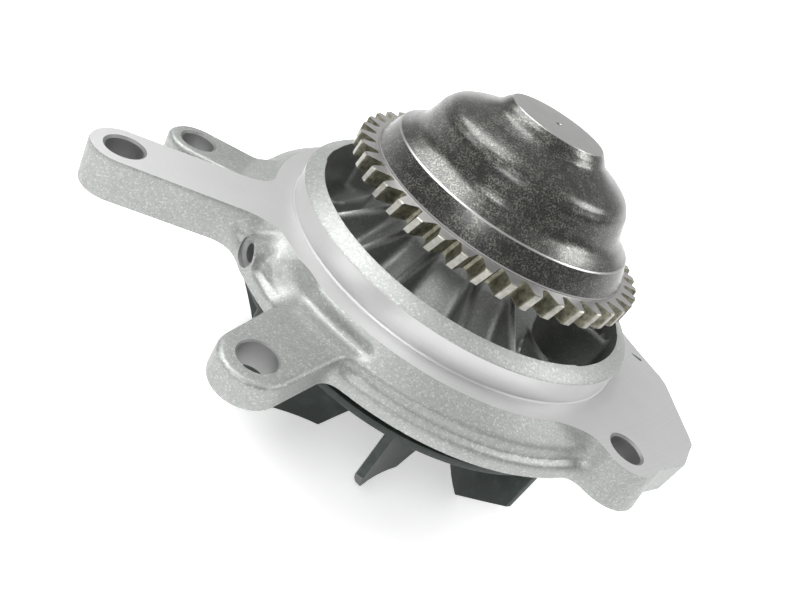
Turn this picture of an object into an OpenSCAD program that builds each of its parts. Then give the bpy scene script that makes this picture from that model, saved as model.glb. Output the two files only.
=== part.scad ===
// Gear driven engine water pump: cast housing, bell shaped drive gear, integral
// shaft bearing, oil and coolant seals, impeller with curved vanes.
// Frame: Z is the pump axis, gear end up. Z = 0 is the machined mounting face.

/* [Drive gear] */
// number of helical teeth on the drive gear
gear_teeth = 42; // [30:1:60]
// radius over the tooth tips
gear_tip_r = 52.5; // [48:0.5:58]
// radius at the bottom of the tooth spaces
gear_root_r = 47.4; // [43:0.1:53]
// helix angle of the teeth, right hand
gear_helix = 17; // [10:1:25]
// height of the gear's lower face above the mounting face
gear_z0 = 21; // [18:0.5:24]
// height of the gear's upper face above the mounting face
gear_z1 = 27; // [25:0.5:32]
// height of the machined face on top of the bell
bell_top_z = 57.8; // [54:0.1:62]

/* [Housing] */
// radius of the machined pilot cylinder
pilot_r = 62.5; // [60:0.5:65]
// radius inside the open pilot cup
cup_r = 57; // [54:0.5:58.5]
// height of the pilot cup's inner edge
cup_z = 10.7; // [9:0.1:13]
// radius of the machined ledge around the pilot
ledge_r = 69.3; // [67:0.1:72]
// radius of the flange at its lower edge
flange_r = 79.3; // [76:0.1:84]
// thickness of the flange below the mounting face
flange_h = 13; // [11:0.5:16]
// radius of the four bolt holes
bolt_hole_r = 5.25; // [4.5:0.25:5.5]
// radius of the rounded lug ends
lug_r = 9.5; // [9:0.25:12]
// step from the mounting face down to the cast lugs
lug_step = 4.5; // [3:0.5:6]
// radius of the drilled weep passage
weep_r = 2.75; // [2:0.25:3.5]

/* [Bearing] */
// outside radius of the bearing ring
ring_r = 23.5; // [22:0.5:25]
// shaft radius between the two rows
shaft_r = 11; // [10:0.5:12]
// radius of the bearing balls
ball_r = 3.969; // [3.5:0.001:4.2]
// number of balls
ball_count = 9; // [8:1:9]
// radius of the bearing rollers
roller_r = 3.25; // [3:0.05:3.5]
// number of rollers
roller_count = 11; // [9:1:11]

/* [Impeller] */
// outside radius of the impeller
imp_r = 70.6; // [66:0.2:74]
// thickness of the impeller disc
imp_t = 2.6; // [2:0.1:3.2]
// number of curved vanes under the disc
vane_count = 8; // [6:1:9]
// distance of the disc's top face below the mounting face
imp_drop = 21.3; // [21:0.1:24]
// depth of a vane at the disc's rim
vane_rim_h = 20.5; // [16:0.5:24]
// depth of a vane at its deepest edge
vane_deep_h = 40.8; // [30:0.2:42]
// thickness of a vane
vane_t = 2.7; // [2:0.1:3.5]
// radius of a vane's curve
vane_arc_r = 67.8; // [60:0.2:80]

/* [Hidden] */
$fn = 96;
gap = 0.05;                         // running clearance in the bearing
gear_phase = -68.7;                 // azimuth of one tooth at mid height
arm1_az = -149.5;                   // long arm
arm1_rad = 113.4;
arm2_az = -166.8;                   // short arm beside it
arm2_rad = 96.3;
arm2_base = 12;                     // lower face of the short arm below the mounting face
lug_az = -108.2;                    // front lug
lug_rad = 100;
plate_hole = [68.9, -43.6];         // bolt hole in the machined plate
weep_az = -133;                     // weep passage: azimuth, height, boss
weep_z = -6.6;
weep_boss_r = 4.6;
weep_wall_r = 5.4;                  // metal cast round the passage inside the cup
weep_face = 78.4;                   // distance of the boss's face from the axis
weep_spot_r = 4.4;                  // machined spot face on the boss
scoop_az = -121.5;                  // scooped hollow beside the boss: a ball's azimuth,
scoop_at = [79.8, 0, 2.8];          // its centre and its radius
scoop_r = 11.2;
far_boss = [72, 21];                // low boss at the far corner of the plate
far_boss_r = 8;
rib_azimuths = [-170, -144, -125, -107, -81, -60, 8, 30, 55, 80, 105, 130, 155];
rib_t = 3.2;
cup_floor = -9;
big_pocket = [48, -18];             // round cast pockets in the cup's floor
big_pocket_r = 19.6;
small_pocket = [-48, -6];
small_pocket_r = 10;
pocket_floor = -12;
hub_top = 30.5;                     // top of the housing's bearing hub
bear_z0 = 3;                        // bearing ring, lower and upper end
bear_z1 = 28.6;
ball_z = 9.4;
roller_z = 20.6;
roller_l = 10;
ball_pitch = shaft_r + 3.6;
roller_pitch = shaft_r + roller_r + gap;
imp_z = -imp_drop;
vane_lead = 7.8;                    // outer end of a vane off the radial line, degrees
vane_sweep = 50;                    // angle that a vane turns through
vane_phase = -38.8;                 // azimuth of one vane's outer end

alu = [0.80, 0.81, 0.80];
steel = [0.62, 0.63, 0.64];
dark = [0.12, 0.13, 0.12];
rubber = [0.05, 0.05, 0.05];

// Ring with rectangular section.
module tube(r0, r1, z0, z1) {
    translate([0, 0, z0]) difference() {
        cylinder(r = r1, h = z1 - z0);
        translate([0, 0, -1]) cylinder(r = r0, h = z1 - z0 + 2);
    }
}

// Outline of an arm that runs out to a rounded end, with fillets into a round flange.
module arm_2d(rad, r_end, w, flange, fil) {
    cy = w / 2 + fil;
    cx = sqrt((flange + fil) * (flange + fil) - cy * cy);
    tx = cx * flange / (flange + fil);
    ty = cy * flange / (flange + fil);
    translate([rad, 0]) circle(r_end);
    translate([flange - 25, -w / 2]) square([rad - flange + 25, w]);
    for (s = [-1, 1])
        difference() {
            polygon([[tx - 6, s * (ty - 0.2)], [tx, s * ty], [cx, s * cy], [cx, s * (w / 2 - 1)],
                     [tx - 12, s * (w / 2 - 1)]]);
            translate([cx, s * cy]) circle(fil);
        }
}

// Outline of an arm with a rounded end and no fillets, from radius rad_in outwards.
module plain_arm_2d(rad, r_end, rad_in) {
    translate([rad, 0]) circle(r_end);
    translate([rad_in, -r_end]) square([rad - rad_in, 2 * r_end]);
}

// Outline of the machined plate beside the pilot, round the plate bolt hole.
module plate_2d() {
    difference() {
        union() {
            polygon([[30, 50], [65, 32.5], [84, 16], [86.5, 12.3], [94.4, -14], [94.6, -19],
                     [91, -30.4], [78.4, -44], [68.9, -43.6], [60, -47], [30, -50]]);
            translate(plate_hole) circle(lug_r);
            polygon([[50, -50], [68.9, -53.1], [68.9, -40], [50, -40]]);
        }
        translate(plate_hole) circle(bolt_hole_r);
    }
}

// Half section of the housing's round body.
module body_section() {
    polygon([[0, hub_top], [27.2, hub_top], [28, hub_top - 0.8], [29.5, 22], [33, 12], [41, 0],
             [47, -6.4], [51, -8.6], [cup_r, -9], [cup_r, cup_z], [cup_r + 1, cup_z],
             [pilot_r - 0.6, 8.6], [pilot_r, 8.0], [pilot_r, 0], [ledge_r, 0], [75.2, -4.4],
             [76.4, -6.2], [77.2, -7.2], [78.6, -8.4], [flange_r, -flange_h],
             [73.2, -flange_h], [72.4, -15], [24, -20.3], [0, -20.3]]);
}

module housing() {
    color(alu) difference() {
        union() {
            difference() {
                union() {
                    rotate_extrude() body_section();
                    rotate(arm1_az) translate([0, 0, -flange_h]) linear_extrude(flange_h)
                        arm_2d(arm1_rad, lug_r, 2 * lug_r, 76, 9);
                    rotate(arm2_az) translate([0, 0, -arm2_base])
                        linear_extrude(arm2_base - lug_step) plain_arm_2d(arm2_rad, lug_r, 60);
                    rotate(lug_az) translate([0, 0, -flange_h])
                        linear_extrude(flange_h - lug_step) arm_2d(lug_rad, lug_r, 2 * lug_r, 76, 9);
                    translate([0, 0, -flange_h]) linear_extrude(flange_h) plate_2d();
                    translate([far_boss[0], far_boss[1], -flange_h])
                        cylinder(r = far_boss_r, h = flange_h - 1.5);
                    rotate(weep_az) translate([68, 0, weep_z]) rotate([0, 90, 0])
                        cylinder(r = weep_boss_r, h = weep_face - 68);
                }
                // open cup between the pilot wall and the hub
                difference() {
                    translate([0, 0, cup_floor]) cylinder(r = cup_r, h = 40);
                    rotate_extrude() polygon([[0, hub_top], [27.2, hub_top], [28, hub_top - 0.8],
                        [29.5, 22], [33, 12], [41, 0], [47, -6.4], [51, -8.6], [51, -10], [0, -10]]);
                }
            }
            housing_ribs();
            rotate(weep_az) translate([20, 0, weep_z]) rotate([0, 90, 0])
                cylinder(r = weep_wall_r, h = 42);
        }
        housing_bores();
    }
}

// Cast ribs from the hub to the pilot wall, and the low round wall of the large pocket.
module housing_ribs() {
    root = cup_floor - 0.5;
    for (a = rib_azimuths)
        rotate(a) translate([0, rib_t / 2, 0]) rotate([90, 0, 0]) linear_extrude(rib_t)
            polygon([[28, 20], [32, 16], [cup_r + 2, 2.5], [cup_r + 2, root], [28, root]]);
    intersection() {
        translate([big_pocket[0], big_pocket[1], 0])
            tube(big_pocket_r, big_pocket_r + 2.4, root, root + 15);
        tube(36, cup_r + 1, root, root + 15);
    }
}

// Every bore, drilled hole and cast pocket of the housing, and the scoop beside the weep boss.
module housing_bores() {
    translate([0, 0, bear_z0]) cylinder(r = ring_r, h = 40);
    tube(ring_r - 1, ring_r + 1.4, 28.65, 30.05);
    translate([0, 0, -3]) cylinder(r = 16.5, h = 20);
    translate([0, 0, -10.5]) cylinder(r = 15.5, h = 20);
    translate([0, 0, -30]) cylinder(r = 18.5, h = 19.5);
    for (p = [[big_pocket, big_pocket_r], [small_pocket, small_pocket_r]])
        translate([0, 0, pocket_floor]) intersection() {
            translate([p[0][0], p[0][1], 0]) cylinder(r = p[1], h = 40);
            cylinder(r = cup_r, h = 50);
        }
    for (p = [[arm1_az, arm1_rad], [arm2_az, arm2_rad], [lug_az, lug_rad]])
        rotate(p[0]) translate([p[1], 0, -40]) cylinder(r = bolt_hole_r, h = 60);
    translate([plate_hole[0], plate_hole[1], -40]) cylinder(r = bolt_hole_r, h = 60);
    rotate(weep_az) translate([0, 0, weep_z]) rotate([0, 90, 0]) {
        translate([0, 0, 12]) cylinder(r = weep_r, h = 80);
        translate([0, 0, weep_face]) cylinder(r = weep_spot_r, h = 9);
    }
    rotate(scoop_az) translate(scoop_at) sphere(r = scoop_r);
}

// Half section of the bell and gear blank.
module bell_section() {
    polygon([[shaft_r - 1.5, 50], [shaft_r - 1.5, 31.6], [17, 31.6], [18, 33], [20, 43.5],
             [23.5, 45], [27.5, 44], [29.6, 40], [31.5, 33], [36, 30], [39.5, 27], [40.5, gear_z0],
             [gear_root_r, gear_z0], [gear_root_r, gear_z1], [46.2, gear_z1], [45.6, 28],
             [42.9, 33.9], [42.4, 34.3], [40.3, 35.5], [37.9, 37.4], [36.6, 39.4], [36, 41.6],
             [35.2, 43.6], [34.4, 45.4], [33, 47.4], [31, 49.2], [28.2, 50.7], [24.6, 52],
             [21.6, 53.2], [19.6, 54.6], [18.4, 56], [17.4, 57.4], [16.6, bell_top_z],
             [0, bell_top_z], [0, 50]]);
}

// One gear tooth, standing on the root cylinder and leaning at the helix angle.
module tooth() {
    h = gear_z1 - gear_z0;
    translate([0, 0, (gear_z0 + gear_z1) / 2]) rotate([-gear_helix, 0, 0])
        linear_extrude(h + 6, center = true)
            polygon([[gear_root_r - 0.8, -2.75], [gear_root_r + 0.2, -2.5], [49, -2.15],
                     [51, -1.6], [gear_tip_r + 1, -1.15], [gear_tip_r + 1, 1.15], [51, 1.6],
                     [49, 2.15], [gear_root_r + 0.2, 2.5], [gear_root_r - 0.8, 2.75]]);
}

module drive_gear() {
    color([0.20, 0.20, 0.19]) union() {
        rotate_extrude() bell_section();
        intersection() {
            for (i = [0 : gear_teeth - 1]) rotate(gear_phase + i * 360 / gear_teeth) tooth();
            tube(gear_root_r - 0.6, gear_tip_r, gear_z0, gear_z1);
        }
    }
}

module pump_shaft() {
    color(steel) rotate_extrude() difference() {
        polygon([[0, -35], [7.5, -35], [8, -34.5], [8, -22], [10, -20], [10, 3], [shaft_r, 4],
                 [shaft_r, 27.2], [shaft_r - 1.5, 28.2], [shaft_r - 1.5, 49], [8.5, 50],
                 [0, 50]]);
        translate([ball_pitch, ball_z]) circle(ball_r + gap);
    }
}

module bearing_ring() {
    color(steel) rotate_extrude() difference() {
        polygon([[17.3, bear_z0], [ring_r, bear_z0], [ring_r, bear_z1], [18.6, bear_z1],
                 [18.6, 27], [17.6, 27], [17.6, 14.6], [17.3, 14.6]]);
        translate([ball_pitch, ball_z]) circle(ball_r + gap);
    }
}

module bearing_balls() {
    color(steel) for (i = [0 : ball_count - 1])
        rotate(i * 360 / ball_count) translate([ball_pitch, 0, ball_z]) sphere(r = ball_r);
}

module ball_cage() {
    color([0.25, 0.26, 0.24]) difference() {
        tube(12.9, 16.4, ball_z - 4.6, ball_z + 4.6);
        for (i = [0 : ball_count - 1])
            rotate(i * 360 / ball_count) translate([ball_pitch, 0, ball_z])
                sphere(r = ball_r + 0.1);
    }
}

module bearing_rollers() {
    color(steel) for (i = [0 : roller_count - 1])
        rotate(i * 360 / roller_count) translate([roller_pitch, 0, roller_z - roller_l / 2])
            cylinder(r = roller_r, h = roller_l);
}

module roller_cage() {
    color([0.25, 0.26, 0.24]) difference() {
        tube(12.2, 16.6, roller_z - 6, roller_z + 6);
        for (i = [0 : roller_count - 1])
            rotate(i * 360 / roller_count)
                translate([roller_pitch, 0, roller_z - roller_l / 2 - 0.1])
                    cylinder(r = roller_r + 0.1, h = roller_l + 0.2);
    }
}

module bearing_shield() {
    color([0.55, 0.56, 0.57]) tube(shaft_r + 0.3, 18.6, 27, 28.2);
}

module retaining_ring() {
    color([0.30, 0.31, 0.32]) difference() {
        tube(22, ring_r + 1.3, 28.7, 30);
        translate([18, -3, 28]) cube([10, 6, 3]);
    }
}

module oil_seal_case() {
    color([0.45, 0.46, 0.47]) rotate_extrude()
        polygon([[12.8, -2.6], [16.45, -2.6], [16.45, 2.4], [15.4, 2.4], [15.4, -1.6],
                 [12.8, -1.6]]);
}

module oil_seal_lip() {
    color(rubber) rotate_extrude()
        polygon([[12.75, -2.6], [12.75, -1.55], [14.4, -1.55], [13.4, 1.4], [12.2, 1.8],
                 [10.1, 0.4], [11.6, -1.0], [11.6, -2.6]]);
}

module garter_spring() {
    color([0.6, 0.6, 0.6]) rotate_extrude() translate([13.96, 1.5]) circle(0.55, $fn = 24);
}

module slinger() {
    color([0.5, 0.5, 0.5]) tube(10, 14.4, -5.6, -4.8);
}

module seal_cup() {
    color([0.72, 0.58, 0.30]) rotate_extrude()
        polygon([[11.2, -11.4], [17.4, -11.4], [17.4, -19.4], [18.4, -19.4], [18.4, -10.6],
                 [11.2, -10.6]]);
}

module seal_bellows() {
    color(rubber) rotate_extrude()
        polygon([[11.3, -11.5], [17.3, -11.5], [17.3, -12.8], [12.6, -12.8], [12.6, -15.2],
                 [14.2, -16.4], [16.2, -16.4], [16.2, -17.4], [13.6, -17.4], [11.3, -15.6]]);
}

module seal_spring() {
    color([0.66, 0.67, 0.68]) for (z = [-13.6, -14.9])
        rotate_extrude() translate([16.4 + (z + 13.6) * 0.2, z]) circle(0.5, $fn = 24);
}

module carbon_ring() {
    color([0.14, 0.14, 0.15]) rotate_extrude()
        polygon([[11.4, -17.5], [16, -17.5], [16, -19.6], [14.4, -19.6], [14.4, -20.6],
                 [12, -20.6], [12, -19.6], [11.4, -19.6]]);
}

module mating_ring() {
    color([0.82, 0.80, 0.72]) tube(11, 15, -24.4, -20.65);
}

module mating_boot() {
    color(rubber) rotate_extrude()
        polygon([[10.4, -26.2], [16.3, -26.2], [16.3, -21.6], [15, -21.6], [15, -24.4],
                 [10.4, -24.4]]);
}

module impeller_hub() {
    color([0.20, 0.21, 0.20]) rotate_extrude()
        polygon([[8, -34.2], [11.6, -34.2], [12.4, -33.4], [12.8, -29.4], [18.4, -27.4],
                 [18.4, imp_z], [16.4, imp_z], [16.4, -26.2], [8, -26.2]]);
}

// One curved vane with its outer end at radius imp_r on the X axis: a bent sheet, cut to
// the vane's side profile. The profile runs along the chord from the outer to the inner end.
module vane() {
    chord = 2 * vane_arc_r * sin(vane_sweep / 2);
    heading = 180 - vane_lead;
    intersection() {
        translate([imp_r + vane_arc_r * sin(heading), -vane_arc_r * cos(heading), 0])
            tube(vane_arc_r - vane_t / 2, vane_arc_r + vane_t / 2, imp_z - vane_deep_h, imp_z - 0.6);
        translate([imp_r, 0, 0]) rotate(heading - vane_sweep / 2) rotate([90, 0, 0])
            linear_extrude(30, center = true)
                polygon([[-4, imp_z], [-4, imp_z - vane_rim_h + 4], [chord * 0.31, imp_z - vane_deep_h],
                         [chord * 0.64, imp_z - vane_deep_h], [chord, imp_z - imp_t + 1], [chord, imp_z]]);
    }
}

module impeller() {
    color(dark) intersection() {
        union() {
            tube(18.4, imp_r, imp_z - imp_t, imp_z);
            for (i = [0 : vane_count - 1]) rotate(vane_phase + i * 360 / vane_count) vane();
        }
        translate([0, 0, imp_z - vane_deep_h - 1]) cylinder(r = imp_r, h = vane_deep_h + 2);
    }
}

housing();
drive_gear();
pump_shaft();
bearing_ring();
bearing_balls();
ball_cage();
bearing_rollers();
roller_cage();
bearing_shield();
retaining_ring();
oil_seal_case();
oil_seal_lip();
garter_spring();
slinger();
seal_cup();
seal_bellows();
seal_spring();
carbon_ring();
mating_ring();
mating_boot();
impeller_hub();
impeller();
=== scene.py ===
"""Gear driven engine water pump: cast housing, bell shaped drive gear, impeller, bearing and seals.

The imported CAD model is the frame. Each class here is one sub-assembly. It holds its own sizes in millimetres
and builds its pieces in the frame's place, in metres.
"""

import logging
import math
from dataclasses import dataclass, field
from enum import Enum
from typing import Callable, Sequence

import bpy
import numpy as np
import openvdb
from mathutils import Matrix, Vector


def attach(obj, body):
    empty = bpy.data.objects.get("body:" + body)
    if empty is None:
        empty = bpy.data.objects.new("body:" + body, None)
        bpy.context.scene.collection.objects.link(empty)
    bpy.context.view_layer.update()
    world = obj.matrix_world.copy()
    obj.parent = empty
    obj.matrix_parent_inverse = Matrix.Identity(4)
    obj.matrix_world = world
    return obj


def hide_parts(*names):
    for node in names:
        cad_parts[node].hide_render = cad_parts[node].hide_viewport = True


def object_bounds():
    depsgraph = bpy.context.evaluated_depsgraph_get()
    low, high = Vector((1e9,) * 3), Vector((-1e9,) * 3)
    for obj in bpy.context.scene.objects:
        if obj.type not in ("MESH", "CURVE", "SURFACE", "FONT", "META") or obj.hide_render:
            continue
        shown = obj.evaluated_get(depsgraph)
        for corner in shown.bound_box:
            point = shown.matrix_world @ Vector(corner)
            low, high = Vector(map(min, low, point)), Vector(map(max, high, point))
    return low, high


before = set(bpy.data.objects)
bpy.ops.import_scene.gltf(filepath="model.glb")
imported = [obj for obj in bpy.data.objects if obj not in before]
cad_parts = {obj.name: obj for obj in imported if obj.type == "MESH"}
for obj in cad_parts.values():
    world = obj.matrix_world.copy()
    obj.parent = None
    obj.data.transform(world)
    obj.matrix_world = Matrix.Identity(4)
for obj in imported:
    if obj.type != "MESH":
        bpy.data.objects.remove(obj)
CAD_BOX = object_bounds()

MM = 0.001
TAU = 2 * math.pi
LOG = logging.getLogger("water_pump")

Point2 = tuple[float, float]
Array = np.ndarray


class Body(Enum):
    """The bodies of the frame that a piece can ride on."""

    PUMP = "pump_body"
    ROTOR = "rotor"


# ---------------------------------------------------------------- shader kit


class Sock:
    """One output socket of a material's node tree. Arithmetic on it adds Math nodes."""

    def __init__(self, shader: "Shader", out: bpy.types.NodeSocket) -> None:
        """Wrap an output socket.

        Args:
            shader: The tree that the socket is in.
            out: The socket.
        """
        self.shader = shader
        self.out = out

    def _math(self, operation: str, *values: "Sock | float") -> "Sock":
        """Add a Math node and return its result."""
        return self.shader.node("ShaderNodeMath", {"operation": operation}, dict(enumerate(values)))

    def __add__(self, other: "Sock | float") -> "Sock":
        """self + other."""
        return self._math("ADD", self, other)

    __radd__ = __add__

    def __sub__(self, other: "Sock | float") -> "Sock":
        """self - other."""
        return self._math("SUBTRACT", self, other)

    def __rsub__(self, other: "Sock | float") -> "Sock":
        """other - self."""
        return self._math("SUBTRACT", other, self)

    def __mul__(self, other: "Sock | float") -> "Sock":
        """self * other."""
        return self._math("MULTIPLY", self, other)

    __rmul__ = __mul__

    def __abs__(self) -> "Sock":
        """Absolute value."""
        return self._math("ABSOLUTE", self)

    def smooth(self, low: float, high: float) -> "Sock":
        """0 below low, 1 above high, smooth between. low may be the larger one, which turns it round."""
        settings = {"interpolation_type": "SMOOTHSTEP"}
        return self.shader.node("ShaderNodeMapRange", settings, {0: self, 1: low, 2: high, 3: 0.0, 4: 1.0})


class Shader:
    """A material's node tree with its Principled shader."""

    def __init__(self, name: str) -> None:
        """Make the material.

        Args:
            name: Name of the material.
        """
        self.material = bpy.data.materials.new(name)
        self.material.use_nodes = True
        self.tree = self.material.node_tree
        self.shader = self.tree.nodes["Principled BSDF"]

    def node(
        self, kind: str, settings: dict | None = None, inputs: dict | None = None, output: int | str = 0
    ) -> Sock:
        """Add one node.

        Args:
            kind: The node's type.
            settings: Its properties, set first. "stops" holds a ramp's positions and colours.
            inputs: Values or Socks for its inputs, by index or name.
            output: Index or name of the output to return.

        Returns:
            The chosen output.
        """
        made = self.tree.nodes.new(kind)
        for key, value in (settings or {}).items():
            if key == "stops":
                self.set_stops(made.color_ramp, value)
            else:
                setattr(made, key, value)
        for key, value in (inputs or {}).items():
            self._feed(made.inputs[key], value)
        return Sock(self, made.outputs[output])

    @staticmethod
    def set_stops(ramp: bpy.types.ColorRamp, stops: Sequence[tuple[float, tuple]]) -> None:
        """Give a colour ramp its stops."""
        while len(ramp.elements) < len(stops):
            ramp.elements.new(1.0)
        for element, (place, colour) in zip(ramp.elements, stops):
            element.position = place
            element.color = colour

    def _feed(self, socket: bpy.types.NodeSocket, value: "Sock | float | tuple") -> None:
        """Link or set one input."""
        if isinstance(value, Sock):
            self.tree.links.new(value.out, socket)
        else:
            socket.default_value = value

    def coords(self) -> Sock:
        """Place in the object's own space, in metres."""
        return self.node("ShaderNodeTexCoord", output="Object")

    def split(self, vector: Sock) -> tuple[Sock, Sock, Sock]:
        """X, Y and Z of a vector."""
        parts = self.node("ShaderNodeSeparateXYZ", inputs={0: vector})
        return tuple(Sock(self, out) for out in parts.out.node.outputs)

    def radius(self, vector: Sock) -> Sock:
        """Distance from the pump's axis, in metres."""
        flat = self.node("ShaderNodeVectorMath", {"operation": "MULTIPLY"}, {0: vector, 1: (1.0, 1.0, 0.0)})
        return self.node("ShaderNodeVectorMath", {"operation": "LENGTH"}, {0: flat}, "Value")

    def noise(self, vector: Sock, size: float, detail: float = 2.0, roughness: float = 0.5) -> Sock:
        """Noise from 0 to 1 with features of a size in millimetres."""
        inputs = {"Vector": vector, "Scale": 1 / (size * MM), "Detail": detail, "Roughness": roughness}
        return self.node("ShaderNodeTexNoise", None, inputs, "Fac")

    def lines(self, across: Sock, detail: float = 2.0) -> Sock:
        """Noise from 0 to 1 that varies along one value only, with features about one unit wide."""
        inputs = {"W": across, "Scale": 1.0, "Detail": detail}
        return self.node("ShaderNodeTexNoise", {"noise_dimensions": "1D"}, inputs, "Fac")

    def grains(self, vector: Sock, size: float) -> Sock:
        """A random value for each grain of a size in millimetres."""
        cells = self.node("ShaderNodeTexVoronoi", None, {"Vector": vector, "Scale": 1 / (size * MM)}, "Color")
        return self.split(cells)[0]

    def mix(self, factor: "Sock | float", first: "Sock | tuple", second: "Sock | tuple") -> Sock:
        """Mix two colours."""
        settings = {"data_type": "RGBA", "clamp_factor": True}
        return self.node("ShaderNodeMix", settings, {0: factor, 6: first, 7: second}, 2)

    def ramp(self, factor: Sock, *stops: tuple[float, tuple]) -> Sock:
        """A colour ramp."""
        return self.node("ShaderNodeValToRGB", {"stops": stops}, {0: factor})

    def bump(self, height: Sock, depth: float, strength: float = 1.0) -> Sock:
        """A normal from a height of 0 to 1 that stands for a depth in millimetres."""
        inputs = {"Height": height, "Strength": strength, "Distance": depth * MM}
        return self.node("ShaderNodeBump", None, inputs)

    def surface(self, **values: "Sock | float | tuple") -> None:
        """Feed the Principled shader. Underscores in a name stand for spaces."""
        for key, value in values.items():
            self._feed(self.shader.inputs[key.replace("_", " ")], value)


def grey(value: float, warm: float = 0.0, green: float = 0.0) -> tuple[float, float, float, float]:
    """A grey with a little warmth or green in it, as a colour with alpha."""
    return (value * (1 + warm), value * (1 + green), value * (1 - warm), 1.0)


# ---------------------------------------------------------------- finishes


@dataclass(frozen=True)
class Finish:
    """A surface finish. Each kind paints its own node tree."""

    name: str

    def paint(self, sh: Shader) -> None:
        """Fill the shader's tree.

        Args:
            sh: The shader to fill.
        """
        raise NotImplementedError

    def material(self) -> bpy.types.Material:
        """The finish's material, made on first use."""
        title = self.name + "_finish"
        found = bpy.data.materials.get(title)
        if found is None:
            shader = Shader(title)
            self.paint(shader)
            found = shader.material
        return found


@dataclass(frozen=True)
class CastAluminium(Finish):
    """Shot blasted sand cast aluminium: fine bright grains over a soft orange peel."""

    tone: float = 0.35
    grain_size: float = 0.40
    peel_size: float = 1.0
    roughness: float = 0.46

    def paint(self, sh: Shader) -> None:
        """Grains vary in tone and gloss, and the peel and the grains both stand in relief."""
        place = sh.coords()
        grain = sh.grains(place, self.grain_size)
        peel = sh.noise(place, self.peel_size, 4.0, 0.62)
        cloud = sh.noise(place, 16.0, 2.0)
        sparkle = grain.smooth(0.84, 0.98)
        tone = sh.ramp(
            peel * 0.45 + grain * 0.30 + cloud * 0.35,
            (0.30, grey(self.tone * 0.82, 0.0, 0.035)),
            (0.58, grey(self.tone, 0.0, 0.03)),
            (0.85, grey(self.tone * 1.18, 0.0, 0.02)),
        )
        relief = peel * 0.7 + grain * 0.3
        sh.surface(
            Base_Color=sh.mix(sparkle * 0.16, tone, grey(0.9)),
            Metallic=0.82,
            Roughness=self.roughness + peel * 0.08,
            Normal=sh.bump(relief, 0.12, 0.5),
        )


@dataclass(frozen=True)
class TurnedMetal(Finish):
    """Metal turned or ground about the pump's axis, with fine tool marks."""

    tone: float = 0.75
    roughness: float = 0.30
    mark_pitch: float = 0.35
    warm: float = 0.0
    metallic: float = 0.92

    def paint(self, sh: Shader) -> None:
        """Tool marks run round the axis, on faces and on cylinders alike."""
        place = sh.coords()
        height = sh.split(place)[2]
        across = (sh.radius(place) + height) * (1 / (self.mark_pitch * MM))
        marks = sh.lines(across)
        cloud = sh.noise(place, 9.0, 3.0)
        tone = sh.ramp(
            marks * 0.5 + cloud * 0.5,
            (0.25, grey(self.tone * 0.93, self.warm)),
            (0.75, grey(self.tone * 1.05, self.warm)),
        )
        sh.surface(
            Base_Color=tone,
            Metallic=self.metallic,
            Roughness=self.roughness + marks * 0.10 + cloud * 0.06,
            Normal=sh.bump(marks, 0.02, 0.6),
        )


@dataclass(frozen=True)
class MilledAluminium(Finish):
    """Face milled aluminium: pale, with shallow sweeping cutter arcs."""

    tone: float = 0.70
    cutter_radius: float = 60.0
    mark_pitch: float = 0.5

    def paint(self, sh: Shader) -> None:
        """The arcs follow a cutter that has passed over the face."""
        place = sh.coords()
        shift = (self.cutter_radius * MM, -self.cutter_radius * MM, 0.0)
        off = sh.node("ShaderNodeVectorMath", {"operation": "ADD"}, {0: place, 1: shift})
        marks = sh.lines(sh.radius(off) * (1 / (self.mark_pitch * MM)), 3.0)
        cloud = sh.noise(place, 12.0, 3.0)
        tone = sh.ramp(marks * 0.6 + cloud * 0.4, (0.3, grey(self.tone * 0.96)), (0.7, grey(self.tone * 1.04)))
        sh.surface(
            Base_Color=tone,
            Metallic=0.80,
            Roughness=0.34 + marks * 0.12,
            Normal=sh.bump(marks, 0.008, 0.5),
        )


@dataclass(frozen=True)
class ForgedSkin(Finish):
    """Dark forged steel with a mottled scale skin, turned bright on the bell's top, with thin painted
    highlight lines at the band edges.
    """

    top_z: float = 57.8
    band_edges: tuple[float, float] = (27.3, 34.25)
    edge_width: float = 0.28
    rings_per_mm: float = 13.0

    def paint(self, sh: Shader) -> None:
        """Scale speckles, bright turned steel on the top, and painted highlight lines of steel colour at the
        band edges.
        """
        place = sh.coords()
        height = sh.split(place)[2]
        fine = sh.noise(place, 0.5, 2.0, 0.6)
        pores = sh.noise(place, 3.2, 3.0, 0.6)
        cloud = sh.noise(place, 14.0, 2.0)
        speckle = fine.smooth(0.40, 0.68) * (pores.smooth(0.30, 0.66) * 0.8 + 0.2)
        skin = sh.ramp(
            speckle + cloud * 0.10,
            (0.02, grey(0.020, 0.02, 0.05)),
            (0.35, grey(0.065, 0.05, 0.06)),
            (0.95, grey(0.16, 0.08, 0.07)),
        )
        bright = height.smooth((self.top_z - 0.25) * MM, (self.top_z - 0.05) * MM)
        # thin painted highlight lines of steel colour along the band's two edges
        for edge in self.band_edges:
            bright = bright + abs(height - edge * MM).smooth(self.edge_width * MM, self.edge_width * 0.4 * MM)
        rings = sh.lines(sh.radius(place) * (self.rings_per_mm / MM))
        steel = sh.ramp(rings * 0.6 + cloud * 0.4, (0.3, grey(0.34, 0.01)), (0.7, grey(0.46, 0.01)))
        sh.surface(
            Base_Color=sh.mix(bright, skin, steel),
            Metallic=0.80 + bright * 0.15,
            Roughness=0.29 + pores * 0.10,
            Normal=sh.bump(fine * 0.6 + pores * 0.4, 0.10, 0.4),
            Coat_Weight=0.8 - bright * 0.8,
            Coat_Roughness=0.24,
        )


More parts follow.
